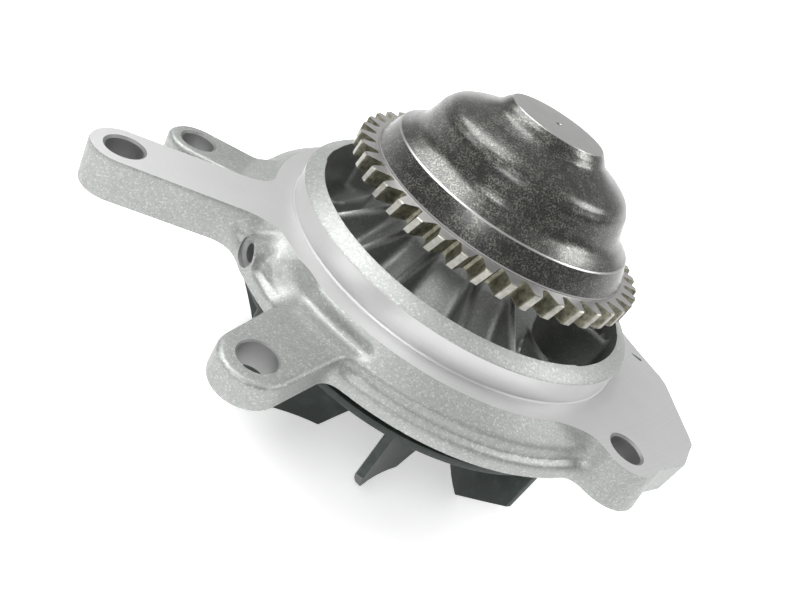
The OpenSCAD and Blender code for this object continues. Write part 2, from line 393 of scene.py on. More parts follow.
@dataclass(frozen=True)
class CutTeeth(Finish):
    """Gear cut steel: end faces and tips lit by a painted highlight, flanks darkened to olive by painted
    shade.
    """

    tip_radius: float = 52.5

    def paint(self, sh: Shader) -> None:
        """Tells end faces by their normal and tips by their radius, to paint them lit and the flanks shaded.
        """
        place = sh.coords()
        facing = sh.node("ShaderNodeNewGeometry", output="Normal")
        # painted highlight: faces turned along the axis, the teeth's end faces, get bright steel
        up = abs(sh.split(facing)[2]).smooth(0.75, 0.95)
        tip = sh.radius(place).smooth((self.tip_radius - 0.35) * MM, (self.tip_radius - 0.1) * MM)
        wear = sh.noise(place, 1.6, 4.0, 0.6)
        fine = sh.noise(place, 0.3, 3.0)
        # painted shade: the darker olive that the flanks show
        shaded_flank_colour = sh.ramp(wear, (0.35, (0.12, 0.115, 0.085, 1)), (0.65, (0.30, 0.29, 0.225, 1)))
        steel = sh.ramp(wear * 0.5 + fine * 0.5, (0.35, grey(0.42, 0.02)), (0.65, grey(0.58, 0.01)))
        # painted highlight on the end faces and partly on the tips, over the painted flank shade
        bright = 1 - (1 - up) * (1 - tip * 0.4)
        sh.surface(
            Base_Color=sh.mix(bright, shaded_flank_colour, steel),
            Metallic=0.88,
            Roughness=0.38 - bright * 0.10 + wear * 0.10,
            Normal=sh.bump(fine, 0.03, 0.5),
        )


@dataclass(frozen=True)
class BlackCoat(Finish):
    """Satin black coating with a hint of green and a fine orange peel."""

    colour: tuple[float, float, float] = (0.010, 0.016, 0.014)
    roughness: float = 0.42

    def paint(self, sh: Shader) -> None:
        """Dusty clouds over a fine peel."""
        place = sh.coords()
        peel = sh.noise(place, 0.9, 3.0, 0.55)
        dust = sh.noise(place, 7.0, 5.0, 0.65)
        dark = (*self.colour, 1.0)
        pale = (*(c * 3.4 + 0.012 for c in self.colour), 1.0)
        sh.surface(
            Base_Color=sh.mix(dust.smooth(0.42, 0.85) * 0.8 + peel * 0.1, dark, pale),
            Metallic=0.15,
            Roughness=self.roughness + dust * 0.16,
            Normal=sh.bump(peel, 0.08, 0.45),
        )


@dataclass(frozen=True)
class Moulded(Finish):
    """Moulded rubber, plastic, carbon or ceramic."""

    colour: tuple[float, float, float] = (0.02, 0.02, 0.02)
    roughness: float = 0.6
    grain: float = 0.5

    def paint(self, sh: Shader) -> None:
        """A fine moulded grain with slight bloom."""
        place = sh.coords()
        grain = sh.noise(place, self.grain, 3.0)
        bloom = sh.noise(place, 5.0, 3.0)
        pale = (*(min(1.0, c * 1.35 + 0.01) for c in self.colour), 1.0)
        sh.surface(
            Base_Color=sh.mix(bloom * 0.6 + grain * 0.3, (*self.colour, 1.0), pale),
            Roughness=self.roughness + bloom * 0.08,
            Normal=sh.bump(grain, 0.03, 0.5),
        )


CAST = CastAluminium("cast_aluminium")
CAST_SHINY = CastAluminium("cast_aluminium_rim", tone=0.36, grain_size=0.50, peel_size=0.8, roughness=0.46)
TURNED_ALUMINIUM = TurnedMetal("turned_aluminium", tone=0.60, roughness=0.40)
# darker copy of turned aluminium for drilled bores, their chamfers and the weep spot face: painted shade
SHADED_DRILLED_ALUMINIUM = TurnedMetal("shaded_drilled_aluminium", tone=0.26, roughness=0.48, metallic=0.7)
MILLED_ALUMINIUM = MilledAluminium("milled_aluminium")
FORGED = ForgedSkin("forged_steel")
TEETH = CutTeeth("cut_teeth")
GROUND_STEEL = TurnedMetal("ground_steel", tone=0.58, roughness=0.20, mark_pitch=0.12, warm=0.01)
SHEET_STEEL = TurnedMetal("sheet_steel", tone=0.46, roughness=0.32, mark_pitch=0.4)
SPRING_STEEL = TurnedMetal("spring_steel", tone=0.34, roughness=0.30, mark_pitch=0.3, warm=0.03)
BRASS = TurnedMetal("seal_brass", tone=0.50, roughness=0.28, mark_pitch=0.3, warm=0.34)
BLACK = BlackCoat("black_coat")
RUBBER = Moulded("seal_rubber", (0.018, 0.018, 0.018), 0.62, 0.5)
CAGE = Moulded("cage_plastic", (0.055, 0.065, 0.045), 0.48, 0.7)
CARBON = Moulded("carbon", (0.035, 0.035, 0.038), 0.34, 0.25)
CERAMIC = Moulded("ceramic", (0.72, 0.69, 0.60), 0.22, 0.3)


# ---------------------------------------------------------------- mesh kit


def mesh_object(name: str, points: Array, faces: Sequence[Sequence[int]], finish: Finish) -> bpy.types.Object:
    """Make a mesh object from points in millimetres.

    Args:
        name: Name of the piece.
        points: One row of X, Y and Z for each vertex.
        faces: Vertex indices of each face.
        finish: The finish of its first material slot.

    Returns:
        The object, linked to the scene.
    """
    mesh = bpy.data.meshes.new(name)
    mesh.from_pydata((np.asarray(points, float) * MM).tolist(), [], [list(f) for f in faces])
    mesh.validate()
    made = bpy.data.objects.new(name, mesh)
    bpy.context.scene.collection.objects.link(made)
    mesh.materials.append(finish.material())
    return made


def ring_quads(first: int, second: int, count: int) -> list[list[int]]:
    """Quads between two rings of count points, from the index of each ring's first point."""
    return [[first + i, first + (i + 1) % count, second + (i + 1) % count, second + i] for i in range(count)]


def lathe_mesh(profile: Sequence[Point2], steps: int = 160) -> tuple[Array, list[list[int]]]:
    """Turn a closed profile about the Z axis.

    Args:
        profile: Radius and height of its points, going round so that the solid is on the left.
        steps: Number of steps round the axis.

    Returns:
        Points and faces. A point on the axis becomes one pole.
    """
    turns = np.arange(steps) * TAU / steps
    points, rows = [], []
    for radius, height in profile:
        if radius < 1e-6:
            rows.append([len(points)] * steps)
            points.append((0.0, 0.0, height))
        else:
            rows.append(list(range(len(points), len(points) + steps)))
            points += [(radius * math.cos(a), radius * math.sin(a), height) for a in turns]
    faces = []
    for low, high in zip(rows, rows[1:] + rows[:1]):
        for i in range(steps):
            j = (i + 1) % steps
            loop = [low[i], low[j], high[j], high[i]]
            kept = [v for n, v in enumerate(loop) if v != loop[n - 1]]
            if len(set(kept)) >= 3:
                faces.append(kept)
    return np.array(points), faces


def lathe(name: str, profile: Sequence[Point2], finish: Finish, steps: int = 160) -> bpy.types.Object:
    """A turned piece. See lathe_mesh for the profile."""
    points, faces = lathe_mesh(profile, steps)
    return mesh_object(name, points, faces, finish)


def curve_through(points: Sequence[Point2], steps: int = 6) -> list[Point2]:
    """A smooth line through points.

    Args:
        points: The points in order.
        steps: Number of steps between two of them.

    Returns:
        The points of a Catmull-Rom curve.
    """
    rows = np.array([points[0], *points, points[-1]], float)
    out: list[Point2] = []
    for a, b, c, d in zip(rows, rows[1:], rows[2:], rows[3:]):
        for i in range(steps):
            t = i / steps
            bend, twist = 2 * a - 5 * b + 4 * c - d, 3 * b - a - 3 * c + d
            out.append(tuple((0.5 * (2 * b + (c - a) * t + bend * t**2 + twist * t**3)).tolist()))
    return [*out, tuple(rows[-1].tolist())]


def bevel(piece: bpy.types.Object, width: float, segments: int = 2, angle: float = 35.0) -> None:
    """Round a piece's sharp edges.

    Args:
        piece: The piece.
        width: Width of the rounding in millimetres.
        segments: Number of facets across it.
        angle: Edges sharper than this many degrees are rounded.
    """
    made = piece.modifiers.new("edges", "BEVEL")
    made.width = width * MM
    made.segments = segments
    made.limit_method = "ANGLE"
    made.angle_limit = math.radians(angle)
    made.use_clamp_overlap = True


def shade(piece: bpy.types.Object, angle: float = 32.0) -> None:
    """Shade a piece smooth, with edges sharper than an angle in degrees kept sharp."""
    piece.data.shade_smooth()
    piece.data.set_sharp_from_angle(angle=math.radians(angle))


def apply_modifiers(piece: bpy.types.Object) -> None:
    """Turn a piece's modifiers into its mesh."""
    bpy.context.view_layer.update()
    evaluated = piece.evaluated_get(bpy.context.evaluated_depsgraph_get())
    mesh = bpy.data.meshes.new_from_object(evaluated)
    piece.modifiers.clear()
    piece.data = mesh


def combine(piece: bpy.types.Object, tool: bpy.types.Object, operation: str = "DIFFERENCE") -> None:
    """Cut or join a piece with a tool, whose finish goes to the faces that it leaves. The tool is used up."""
    made = piece.modifiers.new("combine", "BOOLEAN")
    made.operation = operation
    made.solver = "MANIFOLD"
    made.material_mode = "TRANSFER"
    made.object = tool
    apply_modifiers(piece)
    bpy.data.objects.remove(tool)


def settle(piece: bpy.types.Object, body: Body, *nodes: str) -> bpy.types.Object:
    """Let a finished piece ride on its body, stand for CAD nodes and be reported.

    Args:
        piece: The finished piece.
        body: The body that it rides on.
        nodes: CAD nodes that it stands for.

    Returns:
        The piece.
    """
    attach(piece, body.value)
    if nodes:
        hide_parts(*nodes)
    LOG.info("%s: %d faces on %s", piece.name, len(piece.data.polygons), body.value)
    return piece


def at(radius: float, azimuth: float) -> Point2:
    """X and Y of a point at a radius and an azimuth in degrees."""
    turn = math.radians(azimuth)
    return radius * math.cos(turn), radius * math.sin(turn)


# ---------------------------------------------------------------- distance fields


def turned(x: Array, y: Array, azimuth: float) -> tuple[Array, Array]:
    """Distances of points from the axis along an azimuth in degrees and across it."""
    ux, uy = at(1.0, azimuth)
    return x * ux + y * uy, -x * uy + y * ux


def smooth_union(first: Array, second: Array, blend: float) -> Array:
    """Union of two distance fields with a fillet of about the blend width."""
    share = np.clip(0.5 + 0.5 * (second - first) / blend, 0, 1)
    return second + (first - second) * share - blend * share * (1 - share)


def smooth_cut(solid: Array, tool: Array, blend: float) -> Array:
    """A distance field with a tool's taken away, rounded by about the blend width."""
    return -smooth_union(-solid, tool, blend)


def smooth_overlap(first: Array, second: Array, blend: float) -> Array:
    """Overlap of two distance fields, rounded by about the blend width."""
    return -smooth_union(-first, -second, blend)


def outline_distance(x: Array, y: Array, outline: Sequence[Point2]) -> Array:
    """Signed distance to a closed outline, negative inside.

    Args:
        x: First coordinates of the points.
        y: Second coordinates of the points.
        outline: Corners of the outline in order.

    Returns:
        One distance for each point.
    """
    nearest = np.full_like(x, 1e9)
    sign = np.ones_like(x)
    for (ax, ay), (bx, by) in zip(outline, [outline[-1], *outline[:-1]]):
        ex, ey = bx - ax, by - ay
        wx, wy = x - ax, y - ay
        t = np.clip((wx * ex + wy * ey) / (ex * ex + ey * ey), 0, 1)
        nearest = np.minimum(nearest, (wx - ex * t) ** 2 + (wy - ey * t) ** 2)
        above, below, left = y >= ay, y < by, ex * wy > ey * wx
        sign = np.where((above & below & left) | ~(above | below | left), -sign, sign)
    return sign * np.sqrt(nearest)


def slab(flat: Array, z: Array, low: float, high: float, rounding: float) -> Array:
    """An outline's distance raised into a slab with rounded edges."""
    across = flat + rounding
    along = np.abs(z - (low + high) / 2) - (high - low) / 2 + rounding
    outside = np.hypot(np.maximum(across, 0), np.maximum(along, 0))
    return outside + np.minimum(np.maximum(across, along), 0) - rounding


def bar_distance(x: Array, y: Array, start: Point2, end: Point2, r_start: float, r_end: float) -> Array:
    """Distance to a straight bar with round ends whose half width changes along it."""
    (ax, ay), (bx, by) = start, end
    ex, ey = bx - ax, by - ay
    t = np.clip(((x - ax) * ex + (y - ay) * ey) / (ex * ex + ey * ey), 0, 1)
    return np.hypot(x - ax - ex * t, y - ay - ey * t) - (r_start + (r_end - r_start) * t)


def mesh_of_field(
    distance: Callable[[Array, Array, Array], Array], low: Sequence[float], high: Sequence[float], step: float
) -> tuple[Array, Array]:
    """Mesh the zero surface of a distance field.

    The field is worked out in full only in coarse blocks near the surface, and the mesh's points are then
    moved onto the true surface along its gradient.

    Args:
        distance: Signed distance of points, from their X, Y and Z.
        low: Lowest corner of the space.
        high: Highest corner of the space.
        step: Edge of a grid cell.

    Returns:
        Points and quads.
    """
    block = 6
    counts = [int(math.ceil((h - l) / (step * block))) for l, h in zip(low, high)]
    centres = [l + (np.arange(n) + 0.5) * step * block for l, n in zip(low, counts)]
    cx, cy, cz = (a.astype(np.float32) for a in np.meshgrid(*centres, indexing="ij"))
    coarse = distance(cx, cy, cz)
    grid = np.repeat(np.repeat(np.repeat(coarse, block, 0), block, 1), block, 2)
    near = np.argwhere(np.abs(coarse) < step * block * 1.35)
    inner = np.stack(np.meshgrid(*[np.arange(block)] * 3, indexing="ij"), -1).reshape(-1, 3)
    cells = (near[:, None, :] * block + inner[None]).reshape(-1, 3)
    places = (np.array(low) + (cells + 0.5) * step).astype(np.float32)
    grid[cells[:, 0], cells[:, 1], cells[:, 2]] = distance(*places.T)
    band = 3 * step
    volume = openvdb.FloatGrid(background=band)
    volume.copyFromArray(np.clip(grid, -band, band).astype(np.float32))
    points, quads = volume.convertToQuads(0.0)
    points = np.array(low) + (points.astype(float) + 0.5) * step
    probe = 0.05
    for _ in range(3):
        value = distance(*points.T)
        slope = np.stack([distance(*(points + shift).T) for shift in np.eye(3) * probe], 1) - value[:, None]
        slope /= probe
        steep = np.maximum((slope**2).sum(1), 0.25)
        move = -value[:, None] * slope / steep[:, None]
        points = points + np.clip(move, -0.4 * step, 0.4 * step)
    return points, quads


# ---------------------------------------------------------------- the housing


@dataclass
class Housing:
    """The cast aluminium body: pilot ring, ledge, arms, lugs, plate, open cup and bearing hub."""

    pilot_r: float = 62.5
    cup_r: float = 57.0
    ledge_r: float = 69.3
    flange_h: float = 13.0
    hub_top: float = 30.5
    floor_z: float = -20.3
    hole_r: float = 5.25
    hole_chamfer: float = 0.7
    lug_r: float = 9.5
    lug_top: float = -4.5
    machining: float = 0.7
    cell: float = 0.75
    long_arm: Point2 = at(113.4, -149.5)
    short_arm: Point2 = at(96.3, -166.8)
    front_lug: Point2 = at(100.0, -108.2)
    step_azimuths: tuple[float, float] = (-124.0, -96.5)
    plate_hole: Point2 = (68.9, -43.6)
    far_boss: Point2 = (72.0, 21.0)
    far_boss_r: float = 8.0
    slit: tuple[Point2, Point2] = ((67.0, 18.9), (75.2, 17.6))
    big_pocket: Point2 = (48.0, -18.0)
    big_pocket_r: float = 19.6
    pocket_wall_r: float = 20.8
    small_pocket: Point2 = (-48.0, -6.0)
    small_pocket_r: float = 9.6
    pocket_floor: float = -12.0
    rib_root: float = -12.5
    scoop: Point2 = at(79.8, -121.5)
    scoop_z: float = 2.8
    scoop_r: float = 11.3
    weep_az: float = -133.0
    weep_z: float = -6.6
    weep_r: float = 2.75
    weep_face: float = 79.0
    weep_boss_r: float = 4.9
    weep_wall_r: float = 5.4
    rib_azimuths: Sequence[float] = (-170, -144, -125, -107, -81, -60, 8, 30, 55, 80, 105, 130, 155)

    @property
    def base(self) -> float:
        """Height of the flange's underside, with stock left to machine."""
        return -self.flange_h - self.machining

    def body_outline(self) -> list[Point2]:
        """Half section of the round body, with stock left on the machined faces."""
        extra = self.machining
        hub = self.hub_top + extra
        cup = [(57.0, -9.0), (51, -8.6), (47, -6.4), (41, 0), (33, 12), (29.5, 22), (28, hub)]
        skirt = [(24, self.floor_z), (72.4, -15.0), (73.2, self.base), (79.2, self.base)]
        edge = [(79.1, -10.2), (78.6, -9), (77.5, -8.4), (76.4, -7.9), (76.1, -6.6), (75.7, -5), (74.9, -4.2)]
        top = [(self.ledge_r, 0.1), (self.ledge_r - 0.6, extra), (self.pilot_r + extra, extra)]
        rim = [(self.pilot_r + extra, 10.5), (self.pilot_r - 0.4, 11.0), (57.0, 13.1)]
        return [(0, hub), (0, self.floor_z), *skirt, *edge, *top, *rim, *cup]

    def plate(self, x: Array, y: Array, z: Array) -> Array:
        """The plate on the +X side, with its lug round the bolt hole, the far boss and the slit beside it."""
        outline = [(30, 48), (65, 32.5), (84.5, 14.6), (86.5, 11.5), (94.3, -14.5), (94.8, -18.0),
                   (93.8, -21), (90.8, -31.5), (78, -46), (60, -48), (30, -48)]
        flat = slab(outline_distance(x, y, outline), z, self.base, self.machining, 1.2)
        (hx, hy), (bx, by) = self.plate_hole, self.far_boss
        flare = np.clip(-z, 0, 14) * 0.2
        lug = slab(np.hypot(x - hx, y - hy) - self.lug_r - 0.6 - flare, z, self.base, self.machining, 1.0)
        boss = slab(np.hypot(x - bx, y - by) - self.far_boss_r, z, self.base, -1.5, 1.5)
        slit = slab(bar_distance(x, y, *self.slit, 1.1, 0.9), z, -7, 3, 0.8)
        return smooth_cut(smooth_union(smooth_union(flat, lug, 4.0), boss, 2.0), slit, 1.0)

    def ribs(self, x: Array, y: Array, z: Array, cup: Array) -> Array:
        """Drafted ribs from the hub to the cup's wall.

        Args:
            x: X of the points.
            y: Y of the points.
            z: Z of the points.
            cup: Field of what is there already.

        Returns:
            The field with the ribs blended in.
        """
        radius = np.hypot(x, y)
        crest = 16.0 + (radius - 32) * (2.5 - 16.0) / (self.cup_r - 32)
        for azimuth in self.rib_azimuths:
            along, across = turned(x, y, azimuth)
            half = 1.3 + np.clip(crest - z, 0, 30) * 0.045
            rib = smooth_overlap(np.abs(across) - half, (z - crest) * 0.88, 1.8)
            rib = np.maximum(rib, np.maximum(27 - along, radius - self.cup_r - 1.5))
            cup = smooth_union(cup, np.maximum(rib, self.rib_root - z), 2.6)
        return cup

    def pockets(self, x: Array, y: Array, z: Array, cast: Array) -> Array:
        """The two round cast pockets in the cup's floor. Arguments and result are as in ribs."""
        (bx, by), (sx, sy) = self.big_pocket, self.small_pocket
        radius, big = np.hypot(x, y), np.hypot(x - bx, y - by)
        wall = smooth_overlap(np.abs(big - self.pocket_wall_r) - 1.3, z - 5.8, 1.8)
        wall = np.maximum(wall, np.maximum(36 - radius, radius - self.cup_r - 1))
        cast = smooth_union(cast, np.maximum(wall, self.rib_root - z), 1.6)
        limit = np.maximum(radius - self.cup_r, self.pocket_floor - z)
        cast = smooth_cut(cast, np.maximum(big - self.big_pocket_r, limit), 1.4)
        return smooth_cut(cast, np.maximum(np.hypot(x - sx, y - sy) - self.small_pocket_r, limit), 1.6)

    def distance(self, x: Array, y: Array, z: Array) -> Array:
        """Signed distance of the raw casting, in millimetres."""
        radius = np.hypot(x, y)
        cast = outline_distance(radius, z, self.body_outline())
        cast = self.pockets(x, y, z, self.ribs(x, y, z, cast))
        base, low = self.base, self.lug_top
        arm = slab(bar_distance(x, y, at(56, -146.0), self.long_arm, 10.6, 9.5), z, base, self.machining, 1.6)
        short = slab(bar_distance(x, y, at(60, -166.8), self.short_arm, 9.8, 9.5), z, -12.5, low, 1.7)
        lug = slab(bar_distance(x, y, at(76, -109.5), self.front_lug, 11.5, 9.9), z, base, low, 1.7)
        cast = smooth_union(cast, np.maximum(arm, 63.5 - radius), 7.0)
        cast = smooth_union(cast, np.maximum(short, 70 - radius), 4.5)
        cast = smooth_union(cast, lug, 5.0)
        step = smooth_overlap(low - z, 71.0 - radius, 3.0)
        left, right = (turned(x, y, azimuth)[1] for azimuth in self.step_azimuths)
        cast = smooth_cut(cast, smooth_overlap(step, np.maximum(-left, right), 5.0), 1.2)
        cast = smooth_union(cast, np.maximum(self.plate(x, y, z), 66 - radius), 6.0)
        cast = self.weep_boss(x, y, z, cast)
        sx, sy = self.scoop
        ball = np.sqrt((x - sx) ** 2 + (y - sy) ** 2 + (z - self.scoop_z) ** 2) - self.scoop_r
        return smooth_cut(cast, ball, 1.5)

    def weep_boss(self, x: Array, y: Array, z: Array, cast: Array) -> Array:
        """The small boss of the weep drain and the passage cast round its bore. As in ribs."""
        along, across = turned(x, y, self.weep_az)
        from_axis = np.hypot(across, z - self.weep_z)
        passage = np.maximum(from_axis - self.weep_wall_r, np.maximum(20 - along, along - 62))
        boss = np.maximum(from_axis - self.weep_boss_r, np.maximum(60 - along, along - self.weep_face - 0.5))
        return smooth_union(smooth_union(cast, passage, 2.0), boss, 2.6)

    def cutters(self) -> list[bpy.types.Object]:
        """Machining tools as closed solids, each with the finish that it leaves."""
        far, base, pilot = 130.0, -self.flange_h, self.pilot_r
        rim = [(55.5, 11.35), (61.9, 8.55), (62.5, 8.0), (63.4, 7.1), (66, 7.1), (66, 26), (55.5, 26)]
        ring = [(pilot, 0.45), (pilot + 0.45, 0), (63.2, 0), (63.2, 24), (pilot, 24)]
        under = [(73.2, base - 9), (far, base - 9), (far, base), (73.2, base)]
        tools = [
            lathe("pilot_cut", ring, TURNED_ALUMINIUM, 224),
            lathe("face_cut", [(63.1, 0), (far, 0), (far, 24), (63.1, 24)], MILLED_ALUMINIUM, 224),
            lathe("rim_cut", rim, CAST_SHINY, 224),
            lathe("base_cut", under, MILLED_ALUMINIUM, 192),
            lathe("hub_cut", self.hub_bore(), TURNED_ALUMINIUM, 128),
            lathe("seal_cut", [(0, -30), (18.5, -30), (18.5, -10.5), (0, -10.5)], TURNED_ALUMINIUM, 96),
        ]
        tools += [self.bolt_drill(self.long_arm, 0.0), self.bolt_drill(self.short_arm, self.lug_top)]
        tools += [self.bolt_drill(self.front_lug, self.lug_top), self.bolt_drill(self.plate_hole, 0.0)]
        return [*tools, self.weep_drill()]

    def bolt_drill(self, place: Point2, top: float) -> bpy.types.Object:
        """The drill of one bolt hole, which chamfers the hole's mouth at the height of its lug's top."""
        hole, cut = self.hole_r, self.hole_chamfer
        mouth = hole + cut
        shape = [(0, -30), (hole, -30), (hole, top - cut), (mouth, top), (mouth + 2, top + 2), (0, top + 2)]
        # the hole's walls and chamfer take the darker drilled finish, which is painted shade
        tool = lathe("bolt_cut", shape, SHADED_DRILLED_ALUMINIUM, 64)
        tool.data.transform(Matrix.Translation(Vector((*place, 0)) * MM))
        return tool

    def weep_drill(self) -> bpy.types.Object:
        """The drill of the weep bore, which spot faces its boss."""
        bore, face = self.weep_r, self.weep_face
        mouth = [(bore, face - 0.9), (bore + 0.7, face - 0.2), (4.3, face), (5.3, face + 9)]
        # the bore and spot face take the darker drilled finish, which is painted shade
        tool = lathe("weep_cut", [(0, 12), (bore, 12), *mouth, (0, face + 9)], SHADED_DRILLED_ALUMINIUM, 48)
        turn = Matrix.Rotation(math.radians(self.weep_az), 4, "Z") @ Matrix.Rotation(math.radians(90), 4, "Y")
        tool.data.transform(Matrix.Translation((0, 0, self.weep_z * MM)) @ turn)
        return tool

    def hub_bore(self) -> list[Point2]:
        """Half section of the stepped bore and the hub's machined top, as one tool."""
        top = self.hub_top
        groove = [(23.5, 28.65), (24.9, 28.65), (24.9, 30.05), (23.5, 30.05)]
        rim = [(23.5, top), (27.6, top), (29.5, 28.8), (31, 28.8), (31, 40), (0, 40)]
        return [(0, -10.6), (15.5, -10.6), (15.5, -3), (16.5, -3), (16.5, 3), (23.5, 3), *groove, *rim]

    def build(self) -> bpy.types.Object:
        """Mesh the casting, machine it and settle it in the frame.

        Returns:
            The housing.
        """
        points, quads = mesh_of_field(self.distance, (-112, -110, -24), (100, 86, 34), self.cell)
        piece = mesh_object("housing_casting", points, quads, CAST)
        for tool in self.cutters():
            combine(piece, tool)
        shade(piece, 28.0)
        return settle(piece, Body.PUMP, "housing")


# ---------------------------------------------------------------- the drive gear


@dataclass
class DriveGear:
    """The bell shaped drive gear: helical teeth on the rim of a turned bell."""

    teeth: int = 42
    tip_r: float = 52.5
    root_r: float = 47.4
    low: float = 21.0
    high: float = 27.0
    helix: float = 17.0
    mean_r: float = 50.0
    phase: float = -68.7
    hub_r: float = 45.2
    top_z: float = 57.8

    def half_tooth(self) -> list[Point2]:
        """Radius and half width of one tooth, from its root fillet to its tip."""
        fillet = [(self.root_r, 3.0), (self.root_r + 0.25, 2.68), (self.root_r + 0.8, 2.42)]
        return [*fillet, (49.4, 2.06), (50.6, 1.72), (51.6, 1.40), (52.2, 1.20), (self.tip_r, 1.0)]

    def outline(self, inset: float, turn: float) -> list[tuple[float, float]]:
        """Outline of the toothed rim at one height.

        Args:
            inset: How far the tips are drawn in, for the chamfer on the end faces.
            turn: Turn of the outline about the axis, in degrees.

        Returns:
            Its points, the same number at each height.
        """
        half = [(min(r, self.tip_r - inset), w) for r, w in self.half_tooth()]
        flank = [(r, math.degrees(w / r)) for r, w in half]
        tooth = [(r, -a) for r, a in flank] + flank[::-1]
        middles = [self.phase + turn + i * (360 / self.teeth) for i in range(self.teeth)]
        return [at(r, middle + a) for middle in middles for r, a in tooth]

    def build_rim(self) -> bpy.types.Object:
        """The toothed ring as one closed mesh, twisted along its height."""
        low, high = self.low, self.high
        layers = [(low, 0.55), (low + 0.35, 0.0), (23.0, 0.0), (25.0, 0.0), (high - 0.3, 0.0), (high, 0.4)]
        points: list[tuple[float, float, float]] = []
        for z, inset in layers:
            turn = math.degrees(math.tan(math.radians(self.helix)) * (z - (low + high) / 2) / self.mean_r)
            points += [(x, y, z) for x, y in self.outline(inset, turn)]
        count, top = len(points) // len(layers), len(points) - len(points) // len(layers)
        faces = [face for start in range(0, top, count) for face in ring_quads(start, start + count, count)]
        inner_low, inner_high = len(points), len(points) + count
        for edge, z in ((0, low), (top, high)):
            for x, y, _ in points[edge : edge + count]:
                scale = self.hub_r / math.hypot(x, y)
                points.append((x * scale, y * scale, z))
        for first, second in ((inner_low, 0), (top, inner_high), (inner_high, inner_low)):
            faces += ring_quads(first, second, count)
        piece = mesh_object("gear_teeth", np.array(points), faces, TEETH)
        shade(piece, 30.0)
        return settle(piece, Body.ROTOR)

    def bell_outline(self) -> list[Point2]:
        """Half section of the bell: bore, hollow, rim, outer skin upwards and the top with its dimple."""
        skin = [(16.7, 57.55), (17.9, 56.4), (18.7, 55.4), (19.7, 54.3), (21.4, 53.3), (23.8, 52.2),
                (26.6, 51.2), (29.2, 50.1), (31.2, 49.0), (32.4, 48.0), (33.2, 47.0), (34.0, 45.9),
                (34.5, 44.9), (35.0, 43.5), (35.6, 42.0), (36.2, 40.4), (37.0, 38.8), (38.1, 37.5),
                (39.4, 36.5), (40.7, 35.5), (42.2, 34.5)]
        rim = [(40.5, 21.1), (46.35, 21.1), (46.35, 27.0), (46.15, 27.5), (42.95, 33.95), (42.75, 34.25)]
        hollow = [(39.5, 27), (36, 30), (31.5, 33), (29.6, 40), (27.5, 44), (23.5, 45), (20, 43.5)]
        hollow += [(18, 33), (17, 31.6)]
        bore = [(0, 49.9), (9.6, 49.9), (9.6, 31.6)]
        top = [(16.4, self.top_z), (1.3, self.top_z), (0, self.top_z - 1.0)]
        return [*bore, *curve_through(hollow, 5)[::-1], *rim, *curve_through(skin, 5)[::-1], *top]

    def build_bell(self) -> bpy.types.Object:
        """The bell, turned in one piece."""
        piece = lathe("gear_bell", self.bell_outline(), FORGED, 192)
        shade(piece, 34.0)
        return settle(piece, Body.ROTOR, "drive_gear")

    def build(self) -> None:
        """Build the rim and the bell."""
        self.build_rim()
        self.build_bell()


# ---------------------------------------------------------------- the impeller


@dataclass
class Impeller:
    """The black coated impeller: a thin disc with curved vanes under it."""

    radius: float = 70.6
    bore: float = 18.4
    thickness: float = 2.6
    top_z: float = -21.3
    vanes: int = 8
    vane_t: float = 2.7
    arc_r: float = 67.8
    sweep: float = 50.0
    lead: float = 7.8
    phase: float = -38.8
    rim_depth: float = 20.5
    deep: float = 40.8

    def lower_edge(self, share: float) -> float:
        """Height of a vane's lower edge at a share of its length from the outer end."""
        depths = [self.rim_depth, self.deep, self.deep, 1.0]
        return self.top_z - float(np.interp(share, [0.0, 0.31, 0.64, 1.0], depths))

    def vane(self, azimuth: float) -> bpy.types.Object:
        """One curved vane as a bent sheet with rounded edges.

        Args:
            azimuth: Azimuth of its outer end, in degrees.

        Returns:
            The vane, with its edges rounded.
        """
        stations = [0, 0.06, 0.12, 0.18, 0.25, 0.31, 0.38, 0.45, 0.52, 0.58, 0.64, 0.7]
        stations += [0.76, 0.82, 0.88, 0.94, 1.0]
        length = self.arc_r * math.radians(self.sweep)
        heading = math.radians(180 - self.lead)
        centre = np.array([self.radius + self.arc_r * math.sin(heading), -self.arc_r * math.cos(heading)])
        start = math.atan2(-centre[1], self.radius - centre[0])
        points = []
        for share in stations:
            turn = start - share * length / self.arc_r
            for side in (-1, 1):
                r = self.arc_r + side * self.vane_t / 2
                x, y = centre + r * np.array([math.cos(turn), math.sin(turn)])
                points.append((x, y, self.top_z - 1.2))
                points.append((x, y, min(self.lower_edge(share), self.top_z - 1.9)))
        faces = []
        for i in range(len(stations) - 1):
            a, b = 4 * i, 4 * i + 4
            faces += [[a, a + 1, b + 1, b], [a + 2, b + 2, b + 3, a + 3]]
            faces += [[a, b, b + 2, a + 2], [a + 1, a + 3, b + 3, b + 1]]
        last = 4 * (len(stations) - 1)
        faces += [[0, 2, 3, 1], [last, last + 1, last + 3, last + 2]]
        piece = mesh_object("vane", np.array(points), faces, BLACK)
        piece.data.transform(Matrix.Rotation(math.radians(azimuth), 4, "Z"))
        bevel(piece, 0.5, 2, 50)
        apply_modifiers(piece)
        return piece

    def build(self) -> bpy.types.Object:
        """The disc with its vanes joined to it as one clean solid.

        Returns:
            The impeller.
        """
        r, top, low = self.radius, self.top_z, self.top_z - self.thickness
        under = [(r - 0.5, low), (r - 0.13, low + 0.14), (r, low + 0.5)]
        over = [(r, top - 0.5), (r - 0.13, top - 0.14), (r - 0.5, top)]
        disc = [(self.bore, low), *under, *over, (self.bore, top)]
        piece = lathe("impeller_disc", disc, BLACK, 192)
        for i in range(self.vanes):
            combine(piece, self.vane(self.phase + i * 360 / self.vanes), "UNION")
        shade(piece, 34.0)
        return settle(piece, Body.ROTOR, "impeller")


# ---------------------------------------------------------------- springs and inner parts


